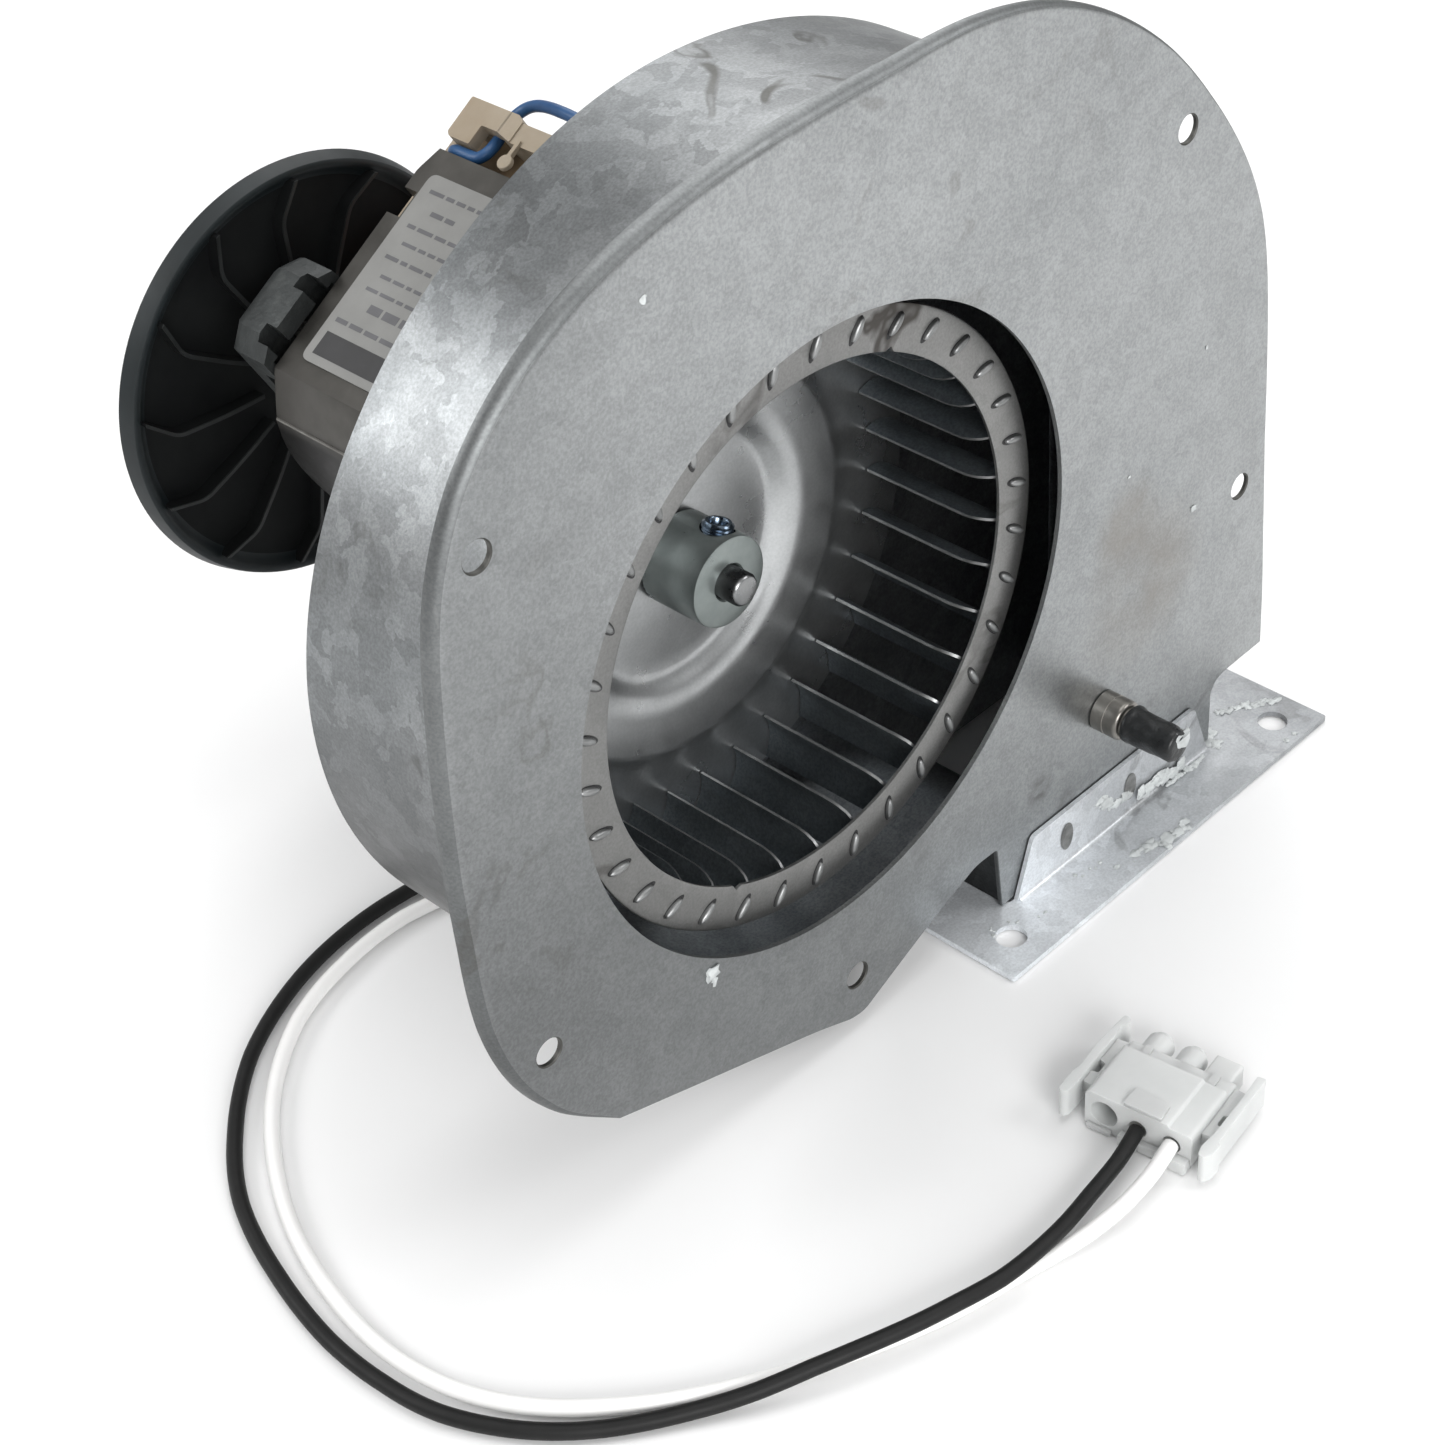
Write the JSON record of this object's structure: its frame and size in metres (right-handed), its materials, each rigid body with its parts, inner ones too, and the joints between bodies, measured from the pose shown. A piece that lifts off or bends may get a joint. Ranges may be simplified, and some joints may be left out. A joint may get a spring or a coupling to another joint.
{
  "type": "combustion fan",
  "caption": "Draft-inducer fan: sheet-steel scroll housing with round inlet and flanged outlet, bladed wheel, shaded-pole motor with cooling fan, and two leads in a nylon connector.",
  "frame": {"origin": "centre of the rectangular outlet flange, on its mounting face", "axes": "+Y runs along the wheel shaft from the inlet towards the motor, -Z is the way the outlet blows, and +X points away from the wheel across the outlet"},
  "size_m": [0.3151, 0.2788, 0.2405],
  "materials": {
    "galvanised_sheet": "satin",
    "wheel_steel": "satin",
    "zinc_hub": "satin",
    "shaft_steel": "satin",
    "plated_steel": "satin",
    "cap_rubber": "matte",
    "laminations": "satin",
    "rotor_metal": "satin",
    "cast_aluminium": "satin",
    "bearing_bronze": "satin",
    "magnet_wire": "gloss",
    "cream_nylon": "satin",
    "blue_insulation": "satin",
    "label_paper": "satin",
    "black_plastic": "satin",
    "black_insulation": "satin",
    "white_insulation": "satin",
    "natural_nylon": "satin",
    "contact_brass": "satin"
  },
  "bodies": {
    "housing": {"front_plate": "galvanised_sheet", "scroll_wrapper": "galvanised_sheet", "back_plate": "galvanised_sheet", "outlet_flange": "galvanised_sheet", "pressure_tap": "plated_steel", "stator_stack": "laminations", "bobbin": "cream_nylon", "coil_winding": "magnet_wire", "rear_bracket": "cast_aluminium", "front_bracket": "cast_aluminium", "rear_bearing": "bearing_bronze", "front_bearing": "bearing_bronze", "through_bolt_1": "plated_steel", "through_bolt_2": "plated_steel", "spacer_1": "plated_steel", "spacer_2": "plated_steel", "terminal_block": "cream_nylon", "blue_jumper": "blue_insulation", "rating_label": "label_paper", "lead_bushing": "black_plastic", "black_lead": "black_insulation", "white_lead": "white_insulation", "connector_housing": "natural_nylon", "contact_1": "contact_brass", "contact_2": "contact_brass"},
    "rotor": {"shaft": "shaft_steel", "hub": "zinc_hub", "set_screw": "zinc_hub", "wheel_back_plate": "wheel_steel", "wheel_ring_blades": "wheel_steel", "rotor_core": "rotor_metal", "cooling_fan": "black_plastic"},
    "cap": {"tap_cap": "cap_rubber"}
  },
  "joints": [
    {"name": "rotor_spin", "type": "hinge", "parent": "housing", "child": "rotor", "pos_m": [-0.10225, 0, 0.1164], "axis": [0, 1, 0], "continuous": true},
    {"name": "tap_cap_pull", "type": "slide", "parent": "housing", "child": "cap", "axis": [0, -1, 0], "range_m": [0, 0.016]}
  ]
}
